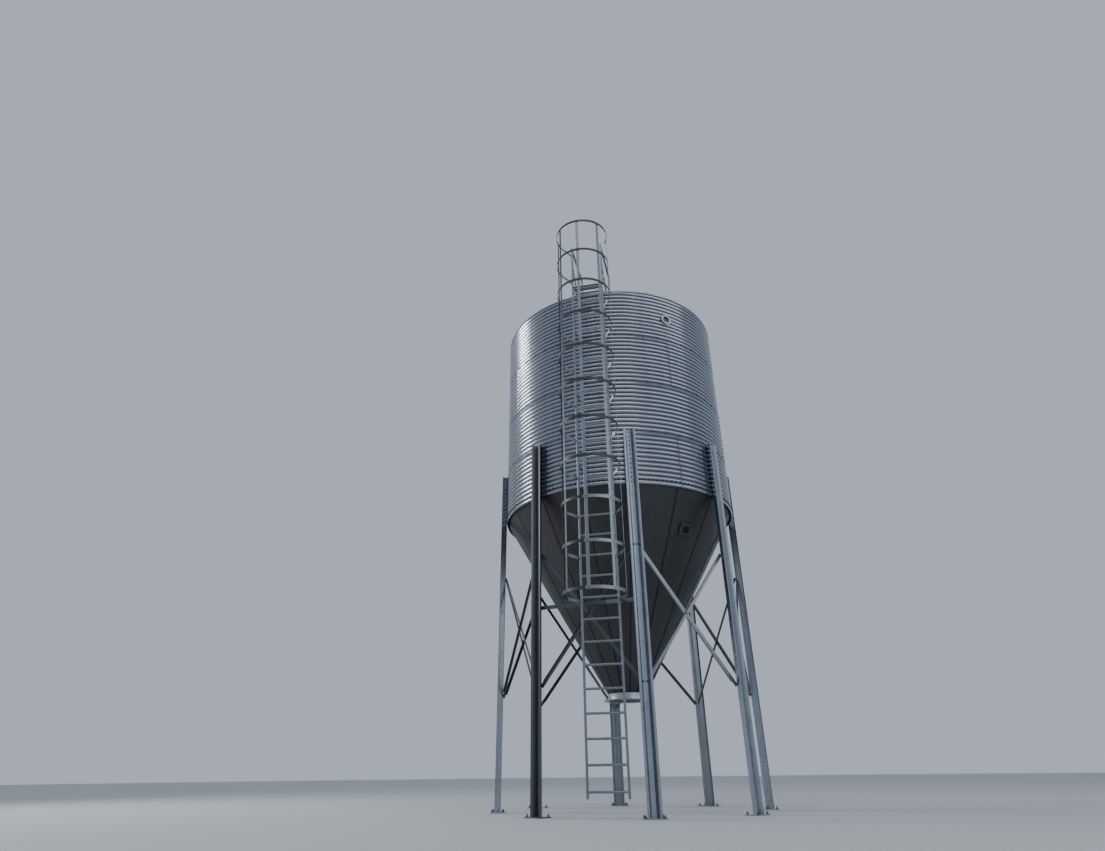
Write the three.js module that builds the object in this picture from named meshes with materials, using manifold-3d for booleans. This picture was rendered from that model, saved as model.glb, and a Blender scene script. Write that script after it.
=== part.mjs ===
// Hopper-bottomed feed silo on eight legs, with a caged ladder.
// Millimetres, +Z up, ground at z = 0, the ladder side towards -Y.
import * as THREE from 'three';
import { mergeVertices } from 'three/addons/utils/BufferGeometryUtils.js';
import Module from 'manifold-3d';

const wasm = await Module();
wasm.setup();

// Driving dimensions
const GAP = 0.3;                      // between neighbouring pieces
const FACETS = 48;                    // flat facets round the tank
const TANK_RADIUS = 1760;             // crests of the corrugation
const CORRUGATION_DEPTH = 13;
const CORRUGATION_PITCH = 67.733;
const CORRUGATIONS_PER_RING = 12;
const RING_COUNT = 4;
const EAVE_HEIGHT = 3926;             // lower edge of the wall above ground
const SHEET = 6;                      // hopper, roof, legs and straps

const HOPPER_SLOPE = THREE.MathUtils.degToRad(60);
const HOPPER_TOP_ABOVE_EAVE = 55;
const HOPPER_BAND = 60;               // upright band bolted inside the wall
const OUTLET_RADIUS = 280;
const OUTLET_LENGTH = 90;
const OUTLET_FLANGE_RADIUS = 340;

const ROOF_SLOPE = THREE.MathUtils.degToRad(30);
const ROOF_OVERHANG = 15;
const ROOF_INSET = 20;                // how far the roof bears in over the wall
const ROOF_EDGE = 8;
const PEAK_RADIUS = 436;
const PEAK_UPSTAND = 60;
const LID_RADIUS = 470;
const LID_HEIGHT = 80;

const LEG_COUNT = 8;
const LEG_WEB = 60;                   // flat back of the hat section
const LEG_MOUTH = 110;                // between the inner edges of the brims
const LEG_WIDTH = 168;                // over both brims
const LEG_DEPTH = 80;
const BASE_PLATE = new THREE.Vector3(260, 190, 12);

const BRACE_WIDTH = 45;
const BRACE_CROSSING = 2250;          // height where the two straps cross
const BRACE_RISE = 1.3;               // height gained for each unit across
const TAB_START = 5;                  // strap ends on the back of the web
const TAB_END = 34;

const LADDER_AZIMUTH = THREE.MathUtils.degToRad(7.8);
const LADDER_OUT = 1987;              // rail centres from the tank's axis
const LADDER_WIDTH = 460;             // between rail centres
const RAIL = new THREE.Vector3(25, 40, 7750);
const RAIL_BOTTOM = 200;
const RUNG_RADIUS = 14;
const RUNG_PITCH = 263.4;
const RUNG_COUNT = 27;
const LOWEST_RUNG = 268;
const STAND_OFF_HEIGHTS = [4150, 5250, 6340, 7070];
const STAND_OFF_DEPTH = 40;

const HOOP_RADIUS = 388;
const HOOP_CENTRE_OUT = 367;          // in front of the rail centres
const HOOP_COUNT = 11;
const LOWEST_HOOP = 2319;
const HOOP_PITCH = 546.2;
const STRAP_HEIGHT = 40;
const HOOP_WRAP = THREE.MathUtils.degToRad(128);
const UPRIGHT_ANGLES = [-96, -48, 0, 48, 96];

const SUPPORT_BAR_HEIGHT = 2380;
const SUPPORT_BAR_DEPTH = 50;
const HANDRAIL_HEIGHT = 7930;
const HANDRAIL_TUBE = 32;
const HANDRAIL_INNER = 1150;          // inner post from the tank's axis
const STAY_START = 7560;
const STAY_FOOT = 1560;
const STAY_WIDTH = 26;
const FOOT_PLATE = new THREE.Vector3(110, 110, 8);
const STEP_THICKNESS = 30;

const PORT_AZIMUTH = THREE.MathUtils.degToRad(45);
const PORT_SIDEWAYS = 52;
const PORT_HEIGHT = 6731;
const PORT_BORE = 52;
const PORT_PIPE = 64;
const PORT_FLANGE = 85;
const PORT_LENGTH = 28;
const PORT_FLANGE_THICKNESS = 8;

const WINDOW_AZIMUTH = THREE.MathUtils.degToRad(55.5);
const WINDOW_HEIGHT = 3460;
const WINDOW_FRAME = new THREE.Vector2(232, 172);
const WINDOW_OPENING = new THREE.Vector2(120, 90);
const WINDOW_DEPTH = 14;
const WINDOW_RECESS = 7;

// Sizes that follow from them
const STEP_ANGLE = (2 * Math.PI) / FACETS;
const RING_HEIGHT = CORRUGATION_PITCH * CORRUGATIONS_PER_RING;
const RIM_HEIGHT = EAVE_HEIGHT + RING_COUNT * RING_HEIGHT;
const INNER_RADIUS = TANK_RADIUS - CORRUGATION_DEPTH;
const FACET_OUT = TANK_RADIUS * Math.cos(STEP_ANGLE / 2);
const HOPPER_RADIUS = INNER_RADIUS - 0.5;
const HOPPER_TOP = EAVE_HEIGHT + HOPPER_TOP_ABOVE_EAVE;
const OUTLET_TOP = HOPPER_TOP - (HOPPER_RADIUS - OUTLET_RADIUS) * Math.tan(HOPPER_SLOPE);
const ROOF_RADIUS = TANK_RADIUS + ROOF_OVERHANG;
const ROOF_EDGE_TOP = RIM_HEIGHT + GAP + ROOF_EDGE;
const ROOF_TOP = ROOF_EDGE_TOP + (ROOF_RADIUS - PEAK_RADIUS) * Math.tan(ROOF_SLOPE);
const LEG_BACK = FACET_OUT + GAP;
const HALF_BAY = Math.PI / LEG_COUNT;
const HALF_TURN = Math.PI;
const FAR = 12000;                    // beyond everything, for cutting bodies
const BITE = 1;                       // how far joined bars sink into each other

// Finishes
function metal(colour, roughness, metalness) {
  return new THREE.MeshStandardMaterial({ color: colour, roughness, metalness });
}
const wallSteel = metal(0xa9b0b8, 0.38, 0.9);
const hopperSteel = metal(0x7e8083, 0.5, 0.85);
const roofSteel = metal(0x9fa6ad, 0.42, 0.9);
const legSteel = metal(0x98a0a6, 0.45, 0.85);
const fittingSteel = metal(0x9aa1a7, 0.48, 0.8);
const ladderSteel = metal(0x949ba2, 0.5, 0.8);

// Closed meshes as solids, and back
function toSolid(geometry) {
  const bare = geometry.clone();
  bare.deleteAttribute('normal');
  bare.deleteAttribute('uv');
  const merged = mergeVertices(bare, 1e-3);
  const index = merged.index.array;
  const kept = [];
  for (let i = 0; i < index.length; i += 3) {
    const [a, b, c] = [index[i], index[i + 1], index[i + 2]];
    if (a !== b && b !== c && c !== a) kept.push(a, b, c);
  }
  const solid = new wasm.Manifold(new wasm.Mesh({
    numProp: 3,
    vertProperties: new Float32Array(merged.attributes.position.array),
    triVerts: new Uint32Array(kept),
  }));
  return solid;
}

function toGeometry(solid) {
  const mesh = solid.getMesh();
  const geometry = new THREE.BufferGeometry();
  geometry.setAttribute('position', new THREE.BufferAttribute(mesh.vertProperties, 3));
  geometry.setIndex(new THREE.BufferAttribute(mesh.triVerts, 1));
  return geometry;
}

function join(parts) {
  return parts.reduce((whole, part) => whole.add(part));
}

// Basic shapes
function box(size, centre) {
  const geometry = new THREE.BoxGeometry(size.x, size.y, size.z);
  return geometry.translate(centre.x, centre.y, centre.z);
}

// Turns a closed profile of [radius, height] about the tank's axis.
function revolve(profile, facets = FACETS) {
  const points = profile.map(([r, z]) => new THREE.Vector2(r, z));
  points.push(points[0].clone());
  const start = Math.PI / facets;
  const geometry = new THREE.LatheGeometry(points, facets, start);
  return toSolid(geometry.rotateX(Math.PI / 2));
}

// Extrudes a plan outline of [x, y] upwards from a height.
function upright(outline, bottom, height) {
  const shape = new THREE.Shape(outline.map(([x, y]) => new THREE.Vector2(x, y)));
  const geometry = new THREE.ExtrudeGeometry(shape, { depth: height, bevelEnabled: false });
  return geometry.translate(0, 0, bottom);
}

// Extrudes a side outline of [distance inwards along +Y, height] across x.
function sideBar(outline, width, x) {
  const shape = new THREE.Shape(outline.map(([y, z]) => new THREE.Vector2(y, z)));
  const geometry = new THREE.ExtrudeGeometry(shape, { depth: width, bevelEnabled: false });
  const turn = new THREE.Matrix4().makeBasis(
    new THREE.Vector3(0, 1, 0),
    new THREE.Vector3(0, 0, 1),
    new THREE.Vector3(1, 0, 0),
  );
  return toSolid(geometry.applyMatrix4(turn).translate(x - width / 2, 0, 0));
}

// A body that keeps what lies from one azimuth through a sweep of 90 or 180 degrees.
function sector(from, sweep) {
  const low = -FAR;
  const high = sweep === HALF_TURN ? FAR : -GAP / 2;
  const size = new THREE.Vector3(FAR, high - low, 2 * FAR);
  const centre = new THREE.Vector3(GAP / 2 + FAR / 2, (low + high) / 2, 0);
  return toSolid(box(size, centre).rotateZ(from));
}

function splitRing(ring, count, from) {
  const sweep = (2 * Math.PI) / count;
  const parts = [];
  for (let i = 0; i < count; i += 1) {
    parts.push(ring.intersect(sector(from + i * sweep, sweep)));
  }
  return parts;
}

// The tank's outer form, grown by the gap, for seating what is fixed to it
const tankForm = revolve([
  [0, EAVE_HEIGHT - 200],
  [TANK_RADIUS + GAP, EAVE_HEIGHT - 200],
  [TANK_RADIUS + GAP, RIM_HEIGHT + GAP],
  [0, RIM_HEIGHT + GAP],
]);
const roofForm = revolve([
  [0, RIM_HEIGHT - GAP],
  [ROOF_RADIUS + GAP, RIM_HEIGHT - GAP],
  [ROOF_RADIUS + GAP, ROOF_EDGE_TOP + 2 * GAP],
  [0, ROOF_EDGE_TOP + 2 * GAP + ROOF_RADIUS * Math.tan(ROOF_SLOPE)],
]);
const hopperForm = revolve([
  [0, OUTLET_TOP],
  [OUTLET_RADIUS + 2 * GAP, OUTLET_TOP],
  [HOPPER_RADIUS + 2 * GAP, HOPPER_TOP],
  [0, HOPPER_TOP],
]);

const silo = new THREE.Group();
const structure = new THREE.Group();
silo.add(structure);

function place(name, geometry, material, parent = structure) {
  const mesh = new THREE.Mesh(geometry, material);
  mesh.name = name;
  parent.add(mesh);
  return mesh;
}

function turned(azimuth) {
  const group = new THREE.Group();
  group.rotation.z = azimuth;
  structure.add(group);
  return group;
}

// Wall: four rings of two half sheets, their seams staggered
const EVEN_SEAM = THREE.MathUtils.degToRad(46.5);
const ODD_SEAM = THREE.MathUtils.degToRad(1.5);
for (let ring = 0; ring < RING_COUNT; ring += 1) {
  const bottom = EAVE_HEIGHT + ring * RING_HEIGHT + GAP;
  const top = EAVE_HEIGHT + (ring + 1) * RING_HEIGHT;
  const shell = revolve([
    [INNER_RADIUS, bottom],
    [TANK_RADIUS, bottom],
    [TANK_RADIUS, top],
    [INNER_RADIUS, top],
  ]);
  const seam = ring % 2 === 0 ? EVEN_SEAM : ODD_SEAM;
  splitRing(shell, 2, seam).forEach((sheet, i) => {
    place(`wall_ring_${ring + 1}_sheet_${i + 1}`, toGeometry(sheet), wallSteel);
  });
}

// Hopper: a steep cone hung from an upright band inside the wall
function hopperRing() {
  const across = SHEET / Math.sin(HOPPER_SLOPE);
  const bandInner = HOPPER_RADIUS - SHEET;
  const kneeRise = (across - SHEET) * Math.tan(HOPPER_SLOPE);
  return revolve([
    [OUTLET_RADIUS - across, OUTLET_TOP],
    [OUTLET_RADIUS, OUTLET_TOP],
    [HOPPER_RADIUS, HOPPER_TOP],
    [HOPPER_RADIUS, HOPPER_TOP + HOPPER_BAND],
    [bandInner, HOPPER_TOP + HOPPER_BAND],
    [bandInner, HOPPER_TOP + kneeRise],
  ]);
}
const QUARTER_SEAM = Math.PI / 4;
splitRing(hopperRing(), 4, QUARTER_SEAM).forEach((panel, i) => {
  place(`hopper_panel_${i + 1}`, toGeometry(panel), hopperSteel);
});

// Outlet: short round neck with a flange to bolt a boot or slide gate to
function outletCollar() {
  const top = OUTLET_TOP - GAP;
  const bottom = top - OUTLET_LENGTH;
  const outer = OUTLET_RADIUS + 6;
  const inner = OUTLET_RADIUS - 16;
  const flangeTop = bottom + 10;
  return revolve([
    [inner, bottom],
    [OUTLET_FLANGE_RADIUS, bottom],
    [OUTLET_FLANGE_RADIUS, flangeTop],
    [outer, flangeTop],
    [outer, top],
    [inner, top],
  ], FACETS / 2);
}
place('outlet_collar', toGeometry(outletCollar()), hopperSteel);

// Roof: a low cone bearing on the wall, with an upstand round the fill opening
function roofRing() {
  const drop = SHEET / Math.cos(ROOF_SLOPE);
  const bearing = TANK_RADIUS - ROOF_INSET;
  const edgeBottom = RIM_HEIGHT + GAP;
  const fillRadius = PEAK_RADIUS - SHEET;
  const underBearing = ROOF_EDGE_TOP + (ROOF_RADIUS - bearing) * Math.tan(ROOF_SLOPE) - drop;
  return revolve([
    [bearing, edgeBottom],
    [ROOF_RADIUS, edgeBottom],
    [ROOF_RADIUS, ROOF_EDGE_TOP],
    [PEAK_RADIUS, ROOF_TOP],
    [PEAK_RADIUS, ROOF_TOP + PEAK_UPSTAND],
    [fillRadius, ROOF_TOP + PEAK_UPSTAND],
    [fillRadius, ROOF_TOP + SHEET * Math.tan(ROOF_SLOPE) - drop],
    [bearing, underBearing],
  ]);
}
splitRing(roofRing(), 4, QUARTER_SEAM).forEach((panel, i) => {
  place(`roof_panel_${i + 1}`, toGeometry(panel), roofSteel);
});

// Peak ring round the upstand, and the lid on top of it
const peakTop = ROOF_TOP + PEAK_UPSTAND;
const peakRing = revolve([
  [PEAK_RADIUS + 0.5, ROOF_TOP + 12],
  [PEAK_RADIUS + 14, ROOF_TOP + 12],
  [PEAK_RADIUS + 14, peakTop],
  [PEAK_RADIUS + 0.5, peakTop],
]);
place('peak_ring', toGeometry(peakRing), fittingSteel);

const fillLid = revolve([
  [0, peakTop + GAP],
  [LID_RADIUS, peakTop + GAP],
  [LID_RADIUS, peakTop + GAP + 18],
  [LID_RADIUS / 4, peakTop + LID_HEIGHT],
  [0, peakTop + LID_HEIGHT],
], FACETS / 2);
place('fill_lid', toGeometry(fillLid), roofSteel);

// Legs: hat sections with their mouths outwards, on base plates
function legOutline() {
  const halfWeb = LEG_WEB / 2;
  const halfMouth = LEG_MOUTH / 2;
  const halfWidth = LEG_WIDTH / 2;
  const run = halfMouth - halfWeb;
  const rise = LEG_DEPTH - SHEET;
  const side = SHEET * (Math.hypot(run, rise) - run) / rise;
  const back = -LEG_BACK;
  const webFront = back - SHEET;
  const brimBack = back - rise;
  const front = back - LEG_DEPTH;
  const right = [
    [halfWeb + side, back],
    [halfMouth + side, brimBack],
    [halfWidth, brimBack],
    [halfWidth, front],
    [halfMouth, front],
    [halfWeb, webFront],
  ];
  const left = right.map(([x, y]) => [-x, y]).reverse();
  return [...right, ...left];
}

function legSolid() {
  const plateTop = BASE_PLATE.z;
  const top = EAVE_HEIGHT + RING_HEIGHT;
  const post = toSolid(upright(legOutline(), plateTop - BITE, top - plateTop + BITE));
  const middle = -(LEG_BACK + LEG_DEPTH / 2);
  const plate = toSolid(box(BASE_PLATE, new THREE.Vector3(0, middle, plateTop / 2)));
  return post.add(plate);
}
const legGeometry = toGeometry(legSolid());
for (let i = 0; i < LEG_COUNT; i += 1) {
  place(`leg_${i + 1}`, legGeometry, legSteel, turned((2 * i - 1) * HALF_BAY));
}

// A point on the left leg of a bay, seen from the middle of that bay
function besideLeg(x, out) {
  return [
    x * Math.cos(HALF_BAY) - out * Math.sin(HALF_BAY),
    -(out * Math.cos(HALF_BAY) + x * Math.sin(HALF_BAY)),
  ];
}

// Plan of a strap between two legs: tabs on the backs of the webs, then the chord.
// stepOut moves the chord towards the outside, past a strap behind it.
function strapPlan(stepOut) {
  const tabOut = LEG_BACK - GAP;
  const outer = [besideLeg(TAB_START, tabOut), besideLeg(TAB_END, tabOut)];
  const chord = outer[1][1];
  const innerBend = (-chord - SHEET - Math.cos(HALF_BAY) * (tabOut - SHEET)) / Math.sin(HALF_BAY);
  const inner = [besideLeg(TAB_START, tabOut - SHEET), besideLeg(innerBend, tabOut - SHEET)];
  if (stepOut > 0) {
    const bend = outer[1][0] + 40;
    outer.push([bend, chord - stepOut]);
    inner.push([bend, chord - stepOut + SHEET]);
  }
  const half = [...outer, ...inner.reverse()];
  const tabToChord = half.slice(0, outer.length);
  const chordToTab = half.slice(outer.length);
  const mirrored = ([x, y]) => [-x, y];
  return [
    ...tabToChord,
    ...tabToChord.map(mirrored).reverse(),
    ...chordToTab.map(mirrored).reverse(),
    ...chordToTab,
  ];
}

function curtain(stepOut) {
  return toSolid(upright(strapPlan(stepOut), 1000, 2600));
}

function braceSolid() {
  const lean = Math.atan(BRACE_RISE);
  const straps = [-lean, lean].map((angle) => {
    const strap = new THREE.BoxGeometry(3000, 400, BRACE_WIDTH);
    return toSolid(strap.rotateY(angle).translate(0, -LEG_BACK + 100, BRACE_CROSSING));
  });
  return join(straps).intersect(curtain(0));
}
const braceGeometry = toGeometry(braceSolid());
for (let i = 0; i < LEG_COUNT; i += 1) {
  place(`leg_brace_${i + 1}`, braceGeometry, legSteel, turned(2 * i * HALF_BAY));
}

// Ladder: two rails, round rungs and flat stand-offs to the wall
const ladderGroup = turned(LADDER_AZIMUTH);
const halfLadder = LADDER_WIDTH / 2;
const railBack = -LADDER_OUT + RAIL.y / 2;
const tankForLadder = tankForm.rotate([0, 0, -THREE.MathUtils.radToDeg(LADDER_AZIMUTH)]);
const roofForLadder = roofForm.rotate([0, 0, -THREE.MathUtils.radToDeg(LADDER_AZIMUTH)]);

function ladderSolid() {
  const parts = [];
  for (const side of [-1, 1]) {
    const x = side * halfLadder;
    const middle = new THREE.Vector3(x, -LADDER_OUT, RAIL_BOTTOM + RAIL.z / 2);
    parts.push(toSolid(box(RAIL, middle)));
    for (const z of STAND_OFF_HEIGHTS) {
      const reach = LADDER_OUT - TANK_RADIUS + 60;
      const size = new THREE.Vector3(SHEET, reach, STAND_OFF_DEPTH);
      parts.push(toSolid(box(size, new THREE.Vector3(x, -LADDER_OUT + reach / 2, z))));
    }
  }
  for (let i = 0; i < RUNG_COUNT; i += 1) {
    const rung = new THREE.CylinderGeometry(RUNG_RADIUS, RUNG_RADIUS, LADDER_WIDTH, 6);
    rung.rotateZ(Math.PI / 2).translate(0, -LADDER_OUT, LOWEST_RUNG + i * RUNG_PITCH);
    parts.push(toSolid(rung));
  }
  return join(parts).subtract(tankForLadder);
}
place('ladder', toGeometry(ladderSolid()), ladderSteel, ladderGroup);

// Cage: hoops from rail to rail, joined by five uprights
const hoopCentre = -(LADDER_OUT + HOOP_CENTRE_OUT);

function hoopGeometry(height) {
  const tab = halfLadder + RAIL.x / 2 + GAP;
  const tabFront = -LADDER_OUT - RAIL.y / 2;
  const quarter = Math.PI / 2;
  const from = HOOP_WRAP - quarter;
  const to = -HOOP_WRAP - quarter;
  const outerRadius = HOOP_RADIUS + SHEET / 2;
  const innerRadius = HOOP_RADIUS - SHEET / 2;
  const shape = new THREE.Shape();
  shape.moveTo(tab + SHEET, railBack);
  shape.lineTo(tab + SHEET, tabFront);
  shape.absarc(0, hoopCentre, outerRadius, from, to, true);
  shape.lineTo(-tab - SHEET, tabFront);
  shape.lineTo(-tab - SHEET, railBack);
  shape.lineTo(-tab, railBack);
  shape.lineTo(-tab, tabFront);
  shape.absarc(0, hoopCentre, innerRadius, to, from, false);
  shape.lineTo(tab, tabFront);
  shape.lineTo(tab, railBack);
  shape.closePath();
  const settings = { depth: STRAP_HEIGHT, bevelEnabled: false, curveSegments: 8 };
  return new THREE.ExtrudeGeometry(shape, settings).translate(0, 0, height - STRAP_HEIGHT / 2);
}

function cageSolid() {
  const parts = [];
  const length = (HOOP_COUNT - 1) * HOOP_PITCH + STRAP_HEIGHT;
  const middle = LOWEST_HOOP + ((HOOP_COUNT - 1) * HOOP_PITCH) / 2;
  for (let i = 0; i < HOOP_COUNT; i += 1) {
    parts.push(toSolid(hoopGeometry(LOWEST_HOOP + i * HOOP_PITCH)));
  }
  for (const angle of UPRIGHT_ANGLES) {
    const strap = new THREE.BoxGeometry(STRAP_HEIGHT, SHEET, length);
    strap.translate(0, -(HOOP_RADIUS - SHEET + BITE), 0);
    strap.rotateZ(THREE.MathUtils.degToRad(angle)).translate(0, hoopCentre, middle);
    parts.push(toSolid(strap));
  }
  return join(parts);
}
place('ladder_cage', toGeometry(cageSolid()), ladderSteel, ladderGroup);

// Support bar between the two legs beside the ladder, with a bracket to each rail
function supportBarSolid() {
  const stepOut = SHEET + 1;
  const slab = new THREE.Vector3(3000, 3000, SUPPORT_BAR_DEPTH);
  const level = toSolid(box(slab, new THREE.Vector3(0, -LADDER_OUT, SUPPORT_BAR_HEIGHT)));
  const parts = [curtain(stepOut).intersect(level)];
  const barOut = -besideLeg(TAB_END, LEG_BACK - GAP)[1] + stepOut - SHEET / 2;
  const bracketStart = LADDER_OUT - RAIL.y / 2 - GAP;
  for (const side of [-1, 1]) {
    const railOut = bracketStart * Math.cos(LADDER_AZIMUTH)
      - side * halfLadder * Math.sin(LADDER_AZIMUTH);
    const length = (railOut - barOut) / Math.cos(LADDER_AZIMUTH);
    const size = new THREE.Vector3(SHEET, length, SUPPORT_BAR_DEPTH);
    const centre = new THREE.Vector3(side * halfLadder, -bracketStart + length / 2, 0);
    const bracket = box(size, centre).rotateZ(LADDER_AZIMUTH);
    parts.push(toSolid(bracket.translate(0, 0, SUPPORT_BAR_HEIGHT)));
  }
  return join(parts);
}
place('ladder_support_bar', toGeometry(supportBarSolid()), legSteel);

// Handrails from the ladder's rails over the roof, each with a post and a stay
function handrailSolid(side) {
  const x = side * halfLadder;
  const start = railBack + GAP;
  const top = HANDRAIL_HEIGHT + HANDRAIL_TUBE / 2;
  const under = top - HANDRAIL_TUBE;
  const postNear = -HANDRAIL_INNER - HANDRAIL_TUBE / 2;
  const postFar = postNear + HANDRAIL_TUBE;
  const legEnd = STAY_START - 2 * STAY_WIDTH;
  const rail = sideBar([
    [start, legEnd],
    [start + HANDRAIL_TUBE, legEnd],
    [start + HANDRAIL_TUBE, under],
    [postNear, under],
    [postNear, RIM_HEIGHT],
    [postFar, RIM_HEIGHT],
    [postFar, top],
    [start, top],
  ], HANDRAIL_TUBE, x);
  const stay = sideBar([
    [start, STAY_START - STAY_WIDTH],
    [-STAY_FOOT - STAY_WIDTH, RIM_HEIGHT],
    [-STAY_FOOT, RIM_HEIGHT],
    [start, STAY_START],
  ], STAY_WIDTH, x);
  const footRadius = Math.hypot(HANDRAIL_INNER, x);
  const footHeight = ROOF_EDGE_TOP + (ROOF_RADIUS - footRadius) * Math.tan(ROOF_SLOPE);
  const foot = new THREE.BoxGeometry(FOOT_PLATE.x, FOOT_PLATE.y, FOOT_PLATE.z);
  foot.rotateX(ROOF_SLOPE).translate(x, -HANDRAIL_INNER, footHeight + FOOT_PLATE.z / 2);
  return join([rail, stay, toSolid(foot)]).subtract(roofForLadder);
}
place('handrail_left', toGeometry(handrailSolid(-1)), ladderSteel, ladderGroup);
place('handrail_right', toGeometry(handrailSolid(1)), ladderSteel, ladderGroup);

// Landing step between the ladder's rails at the rim
function landingStepSolid() {
  const inside = LADDER_WIDTH - RAIL.x - 2 * GAP;
  const front = -LADDER_OUT - RAIL.y / 2;
  const depth = -front - TANK_RADIUS + 60;
  const size = new THREE.Vector3(inside, depth, STEP_THICKNESS);
  const centre = new THREE.Vector3(0, front + depth / 2, RIM_HEIGHT - STEP_THICKNESS / 2 - 1);
  return toSolid(box(size, centre)).subtract(tankForLadder);
}
place('landing_step', toGeometry(landingStepSolid()), ladderSteel, ladderGroup);

// Level port: a short flanged pipe high on the wall
function levelPortGeometry() {
  const flangeBack = PORT_LENGTH - PORT_FLANGE_THICKNESS;
  const profile = [
    [PORT_BORE, 0],
    [PORT_PIPE, 0],
    [PORT_PIPE, flangeBack],
    [PORT_FLANGE, flangeBack],
    [PORT_FLANGE, PORT_LENGTH],
    [PORT_BORE, PORT_LENGTH],
    [PORT_BORE, 0],
  ].map(([r, y]) => new THREE.Vector2(r, y));
  const pipe = new THREE.LatheGeometry(profile, 16).rotateX(Math.PI);
  return toGeometry(toSolid(pipe.translate(PORT_SIDEWAYS, -LEG_BACK, PORT_HEIGHT)));
}
place('level_port', levelPortGeometry(), fittingSteel, turned(PORT_AZIMUTH));

// Sight window: an oblong frame seated on the hopper's slope
function sightWindowSolid() {
  const out = HOPPER_RADIUS - (HOPPER_TOP - WINDOW_HEIGHT) / Math.tan(HOPPER_SLOPE);
  const tilt = Math.PI / 2 - HOPPER_SLOPE;
  const sunk = 8;
  const frame = new THREE.BoxGeometry(WINDOW_FRAME.x, WINDOW_DEPTH + sunk, WINDOW_FRAME.y);
  frame.translate(0, -(WINDOW_DEPTH - sunk) / 2, 0);
  const recess = new THREE.BoxGeometry(WINDOW_OPENING.x, 2 * WINDOW_RECESS, WINDOW_OPENING.y);
  recess.translate(0, -WINDOW_DEPTH, 0);
  for (const geometry of [frame, recess]) {
    geometry.rotateX(tilt).translate(0, -out, WINDOW_HEIGHT).rotateZ(WINDOW_AZIMUTH);
  }
  return toSolid(frame).subtract(toSolid(recess)).subtract(hopperForm);
}
place('sight_window', toGeometry(sightWindowSolid()), fittingSteel);

// The origin lies on the ground under the middle of the whole silo's box.
const bounds = new THREE.Box3().setFromObject(silo, true);
const middle = bounds.getCenter(new THREE.Vector3());
structure.position.set(-middle.x, -middle.y, 0);

export default silo;
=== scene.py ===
import bmesh
import bpy
from math import asin, atan, cos, degrees, hypot, pi, radians, sin, sqrt, tan
from mathutils import Matrix, Vector
from bpy.props import FloatProperty, FloatVectorProperty, IntProperty, PointerProperty


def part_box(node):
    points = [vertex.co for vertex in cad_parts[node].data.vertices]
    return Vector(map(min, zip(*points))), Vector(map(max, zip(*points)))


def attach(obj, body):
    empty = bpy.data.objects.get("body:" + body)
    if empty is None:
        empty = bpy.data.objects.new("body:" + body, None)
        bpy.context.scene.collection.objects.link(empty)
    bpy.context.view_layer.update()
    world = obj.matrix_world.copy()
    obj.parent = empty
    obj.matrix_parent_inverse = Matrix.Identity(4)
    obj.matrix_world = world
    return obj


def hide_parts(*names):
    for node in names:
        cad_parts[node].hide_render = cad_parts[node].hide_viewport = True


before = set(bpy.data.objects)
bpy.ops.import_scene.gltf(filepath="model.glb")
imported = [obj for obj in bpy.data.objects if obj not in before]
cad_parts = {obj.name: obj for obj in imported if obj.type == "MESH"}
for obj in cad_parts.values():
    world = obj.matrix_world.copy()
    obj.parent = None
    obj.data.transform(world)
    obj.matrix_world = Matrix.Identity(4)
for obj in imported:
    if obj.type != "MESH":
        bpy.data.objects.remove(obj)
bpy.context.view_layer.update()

bl_info = {
    "name": "Feed silo",
    "version": (1, 0, 0),
    "blender": (4, 5, 0),
    "location": "3D View > Sidebar > Feed silo",
    "description": "Builds a galvanised hopper-bottomed feed silo with a caged ladder",
    "category": "Object",
}

TURN = 2 * pi
UP = Vector((0, 0, 1))
OUTLET_LOW, OUTLET_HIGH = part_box("outlet_collar")
AXIS = (OUTLET_LOW + OUTLET_HIGH) / 2
AXIS.z = 0
EAVE = 3.926
PITCH = 0.067733
RIM = EAVE + 48 * PITCH
RING_HEIGHT = 12 * PITCH
HOPPER_BEND = EAVE + 0.055
HOPPER_BAND = 0.060
HOPPER_FALL = tan(radians(60))
ROOF_SLOPE = tan(radians(30))
ROOF_EDGE_TOP = 7.18548
ROOF_RADIUS = 1.7585
PEAK_RADIUS = 0.436
BAY = 22.5
LEG_BACK = 1.75653
LEG_DEPTH = 0.080
BRACE_CROSSING = 2.25
BRACE_RISE = 1.3
BRACE_END = 0.648
BRACE_CHORD = 1.6275
BRACE_STEEL = 0.004
LADDER_AZIMUTH = 7.8
LADDER_OUT = 1.987
LADDER_TOP = 7.950
HALF_LADDER = 0.23
HALF_RAIL = 0.0125
HALF_RAIL_DEPTH = 0.020
RAIL_BACK, RAIL_FRONT = LADDER_OUT - HALF_RAIL_DEPTH, LADDER_OUT + HALF_RAIL_DEPTH
RUNG_PITCH = 0.2634
LOWEST_RUNG = 0.268
STAND_OFFS = (4.150, 5.250, 6.340, 7.070)
HOOP_RADIUS = 0.3810
HOOP_CENTRE = LADDER_OUT + 0.3675
HOOP_PITCH = 0.5462
LOWEST_HOOP = 2.319
STRAP_HEIGHT = 0.040
CAMERA_BEARING = 15.5


# Sizes and colours that can be changed


def length(name, description, default):
    return FloatProperty(name=name, description=description, default=default, unit="LENGTH")


def count(name, description, default):
    return IntProperty(name=name, description=description, default=default, min=1)


def colour(name, description, *default):
    return FloatVectorProperty(
        name=name, description=description, default=default, subtype="COLOR", min=0, max=1)


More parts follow.
